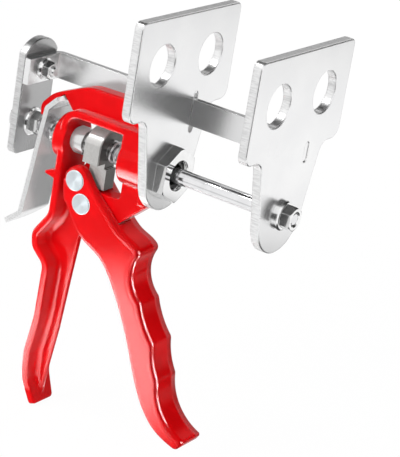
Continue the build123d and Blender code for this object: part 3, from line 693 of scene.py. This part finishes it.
def studio_camera(settings):
    """The camera at the photograph's viewing angle, with its slight roll."""
    azimuth, elevation, roll = settings.azimuth, settings.elevation, settings.roll
    right = Vector((math.cos(azimuth), math.sin(azimuth), 0.0))
    back = Vector((
        math.sin(azimuth) * math.cos(elevation), -math.cos(azimuth) * math.cos(elevation), math.sin(elevation),
    ))
    up = back.cross(right)
    across = math.cos(roll) * right + math.sin(roll) * up
    upright = math.cos(roll) * up - math.sin(roll) * right
    camera = new_object("camera", bpy.data.cameras.new("camera"))
    camera.data.sensor_width = SENSOR_WIDTH
    camera.data.lens = settings.lens
    camera.data.clip_start = CLIP_START
    camera.data.clip_end = CLIP_END
    turn = Matrix((across, upright, back)).transposed().to_4x4()
    camera.matrix_world = Matrix.Translation(Vector(settings.place)) @ turn
    bpy.context.scene.camera = camera


# Settings

class CoatSettings(bpy.types.PropertyGroup):
    deep: bpy.props.FloatVectorProperty(
        name="Deep red", description="Coat colour where it lies thick", subtype="COLOR", size=3,
        default=(0.52, 0.0008, 0.002), min=0.0, max=1.0,
    )
    bright: bpy.props.FloatVectorProperty(
        name="Bright red", description="Coat colour where it lies thin", subtype="COLOR", size=3,
        default=(0.62, 0.001, 0.003), min=0.0, max=1.0,
    )
    # The edge red is lightened partly by wear and partly as a painted highlight
    edge: bpy.props.FloatVectorProperty(
        name="Edge red", description="Coat colour on worn edges", subtype="COLOR", size=3,
        default=(0.80, 0.006, 0.012), min=0.0, max=1.0,
    )
    edge_radius: bpy.props.FloatProperty(
        name="Edge radius", description="How far cast edges are rounded", subtype="DISTANCE", unit="LENGTH",
        default=0.0016, min=0.0, max=0.004,
    )
    grip_radius: bpy.props.FloatProperty(
        name="Grip radius", description="How far the trigger's edges are rounded", subtype="DISTANCE",
        unit="LENGTH", default=0.0028, min=0.0, max=0.004,
    )


class SteelSettings(bpy.types.PropertyGroup):
    steel_low: bpy.props.FloatVectorProperty(
        name="Plate shade", description="Darker tone of the plated sheet", subtype="COLOR", size=3,
        default=(0.92, 0.92, 0.925), min=0.0, max=1.0,
    )
    steel_high: bpy.props.FloatVectorProperty(
        name="Plate light", description="Lighter tone of the plated sheet", subtype="COLOR", size=3,
        default=(0.97, 0.97, 0.97), min=0.0, max=1.0,
    )
    satin: bpy.props.FloatProperty(
        name="Satin", description="Roughness of the plate faces", subtype="FACTOR",
        default=0.27, min=0.05, max=0.9,
    )


class ThreadSettings(bpy.types.PropertyGroup):
    bolt_pitch: bpy.props.FloatProperty(
        name="Bolt pitch", description="Thread pitch of the small bolt", subtype="DISTANCE", unit="LENGTH",
        default=0.0010, min=0.0005, max=0.003,
    )
    stud_pitch: bpy.props.FloatProperty(
        name="Stud pitch", description="Thread pitch of the rod ends", subtype="DISTANCE", unit="LENGTH",
        default=0.00125, min=0.0005, max=0.003,
    )
    nut_pitch: bpy.props.FloatProperty(
        name="Clamp nut pitch", description="Thread pitch in the large nut", subtype="DISTANCE", unit="LENGTH",
        default=0.0015, min=0.0005, max=0.003,
    )
    ridge: bpy.props.FloatProperty(
        name="Ridge", description="How far a thread stands proud", subtype="DISTANCE", unit="LENGTH",
        default=0.00022, min=0.0, max=0.001,
    )


class StudioSettings(bpy.types.PropertyGroup):
    azimuth: bpy.props.FloatProperty(
        name="Azimuth", description="Camera angle round the tool", subtype="ANGLE",
        default=math.radians(30.163),
    )
    elevation: bpy.props.FloatProperty(
        name="Elevation", description="Camera angle above the tool", subtype="ANGLE",
        default=math.radians(20.548),
    )
    roll: bpy.props.FloatProperty(
        name="Roll", description="Camera turn about its own axis", subtype="ANGLE",
        default=math.radians(9.737),
    )
    place: bpy.props.FloatVectorProperty(
        name="Place", description="Where the camera stands", subtype="TRANSLATION", size=3,
        default=(0.57202, -0.93773, 0.38038),
    )
    lens: bpy.props.FloatProperty(
        name="Lens", description="Focal length", unit="CAMERA", default=156.36, min=10.0, max=400.0,
    )
    ambient: bpy.props.FloatProperty(
        name="Ambient", description="Light from all round", subtype="FACTOR", default=0.50, min=0.0, max=1.0,
    )
    floor_gap: bpy.props.FloatProperty(
        name="Floor gap", description="How far the floor lies below the tool", subtype="DISTANCE",
        unit="LENGTH", default=0.0005, min=0.0, max=0.1,
    )
    floor_white: bpy.props.FloatProperty(
        name="Floor white", description="How white the floor shows", subtype="FACTOR",
        default=0.97, min=0.0, max=1.0,
    )


# Operators

class SPREADER_OT_effects(bpy.types.Operator):
    """Builds the effects that the finishes share"""

    bl_idname = "spreader.effects"
    bl_label = "Shared effects"

    def execute(self, context):
        rounded_edge_group()
        grain_group()
        ring_group()
        return {"FINISHED"}


class SPREADER_OT_coat(bpy.types.Operator):
    """Coats the cast body and the trigger"""

    bl_idname = "spreader.coat"
    bl_label = "Coat castings"

    def execute(self, context):
        settings = context.scene.spreader_coat
        grip_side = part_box("trigger")[1][1]
        paint(["body_casting"], red_coat("red powder coat", settings, settings.edge_radius))
        paint(["trigger"], red_coat("red grip coat", settings, settings.grip_radius, grip_side))
        return {"FINISHED"}


class SPREADER_OT_sheet(bpy.types.Operator):
    """Finishes the jaw plates, the link, the guide bar and the release lever"""

    bl_idname = "spreader.sheet"
    bl_label = "Finish sheet parts"

    def execute(self, context):
        settings = context.scene.spreader_steel
        paint(PLATES, sheet_steel("plate steel", settings, 0, False))
        paint(["rear_link"], sheet_steel("link steel", settings, 0, False, shade=LINK_PAINTED_SHADE))
        paint(["guide_bar"], sheet_steel("bar steel", settings, 2, True, FINE_EDGE))
        paint(["release_lever"], sheet_steel("lever steel", settings, 1, True, SMALL_EDGE, LEVER_PAINTED_SHADE))
        return {"FINISHED"}


class SPREADER_OT_hardware(bpy.types.Operator):
    """Finishes the rod, nuts, bolt and washer"""

    bl_idname = "spreader.hardware"
    bl_label = "Finish rod and nuts"

    def execute(self, context):
        paint(["push_rod"], bright_steel("ground rod", ROD_TONE, ROD_ROUGH, FINE_EDGE, True))
        paint(HARDWARE, bright_steel("plated nut", NUT_TONE, NUT_ROUGH, FINE_EDGE, False))
        return {"FINISHED"}


class SPREADER_OT_mechanism(bpy.types.Operator):
    """Finishes the dog, bushes, springs and rivets"""

    bl_idname = "spreader.mechanism"
    bl_label = "Finish mechanism"

    def execute(self, context):
        paint(["drive_dog"], sintered_steel())
        paint(TURNED, bright_steel("turned bush", BUSH_TONE, BUSH_ROUGH, BUSH_EDGE, True))
        paint(SPRINGS, bright_steel("spring wire", WIRE_TONE, WIRE_ROUGH, SMALL_EDGE, False))
        for node in RIVETS:
            paint([node], rivet_steel(node))
        return {"FINISHED"}


class SPREADER_OT_threads(bpy.types.Operator):
    """Cuts the threads that show on the bolt, the rear stud and in the clamp nut"""

    bl_idname = "spreader.threads"
    bl_label = "Threads"

    def execute(self, context):
        sizes = context.scene.spreader_thread
        metal = bpy.data.materials["plated nut"]
        nut_low, nut_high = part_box("link_bolt_nut")
        thread_piece(
            "link_bolt_thread", "jaw_carriage", metal, (nut_low[2] + nut_high[2]) / 2,
            radius=BOLT_CORE, depth=sizes.ridge, pitch=sizes.bolt_pitch,
            x_from=nut_high[0] - HIDDEN_RUN, x_to=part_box("link_bolt")[1][0] - BOLT_LEAD,
        )
        thread_piece(
            "rear_stud_thread", "jaw_carriage", metal, 0.0,
            radius=STUD_CORE, depth=sizes.ridge, pitch=sizes.stud_pitch,
            x_from=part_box("push_rod")[0][0] + STUD_LEAD, x_to=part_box("rod_outer_nut")[0][0] + HIDDEN_RUN,
        )
        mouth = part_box("clamp_nut")[1][0]
        thread_piece(
            "clamp_nut_thread", "frame", metal, 0.0,
            radius=CLAMP_BORE, depth=sizes.ridge * 2.0, pitch=sizes.nut_pitch,
            x_from=mouth - CLAMP_DEPTH, x_to=mouth - CLAMP_LEAD, inward=True,
        )
        return {"FINISHED"}


class SPREADER_OT_studio(bpy.types.Operator):
    """Sets up the floor, the lamps, the surroundings and the camera"""

    bl_idname = "spreader.studio"
    bl_label = "Studio"

    def execute(self, context):
        settings = context.scene.spreader_studio
        context.scene.view_settings.view_transform = "Standard"
        studio_world(settings.ambient)
        studio_floor(CAD_BOUNDS[0][2] - settings.floor_gap, settings.floor_white)
        for lamp in LAMPS:
            area_lamp(*lamp)
        receivers = {}
        for name, nodes in RECEIVERS.items():
            receivers[name] = bpy.data.collections.new(name)
            for node in nodes:
                receivers[name].objects.link(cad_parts[node])
        for *lamp, group in SHEENS:
            sheen_lamp(*lamp, receivers[group])
        for card in CARDS:
            studio_card(*card)
        studio_camera(settings)
        return {"FINISHED"}


class SPREADER_PT_panel(bpy.types.Panel):
    """Lists the steps that dress the tool"""

    bl_idname = "SPREADER_PT_panel"
    bl_label = "Caliper Spreader"
    bl_space_type = "VIEW_3D"
    bl_region_type = "UI"
    bl_category = "Spreader"

    def draw(self, context):
        for group in SETTINGS:
            box = self.layout.box()
            owner = getattr(context.scene, group)
            for name in owner.__annotations__:
                box.prop(owner, name)
        for step in STEPS:
            self.layout.operator(step.bl_idname)


SETTINGS = {
    "spreader_coat": CoatSettings,
    "spreader_steel": SteelSettings,
    "spreader_thread": ThreadSettings,
    "spreader_studio": StudioSettings,
}
STEPS = (
    SPREADER_OT_effects,
    SPREADER_OT_coat,
    SPREADER_OT_sheet,
    SPREADER_OT_hardware,
    SPREADER_OT_mechanism,
    SPREADER_OT_threads,
    SPREADER_OT_studio,
)
CLASSES = (*SETTINGS.values(), *STEPS, SPREADER_PT_panel)


def register():
    for item in CLASSES:
        bpy.utils.register_class(item)
    for name, group in SETTINGS.items():
        setattr(bpy.types.Scene, name, bpy.props.PointerProperty(type=group))


def unregister():
    for name in SETTINGS:
        delattr(bpy.types.Scene, name)
    for item in reversed(CLASSES):
        bpy.utils.unregister_class(item)


def main():
    register()
    for step in STEPS:
        family, name = step.bl_idname.split(".")
        getattr(getattr(bpy.ops, family), name)()


if __name__ == "__main__":
    main()
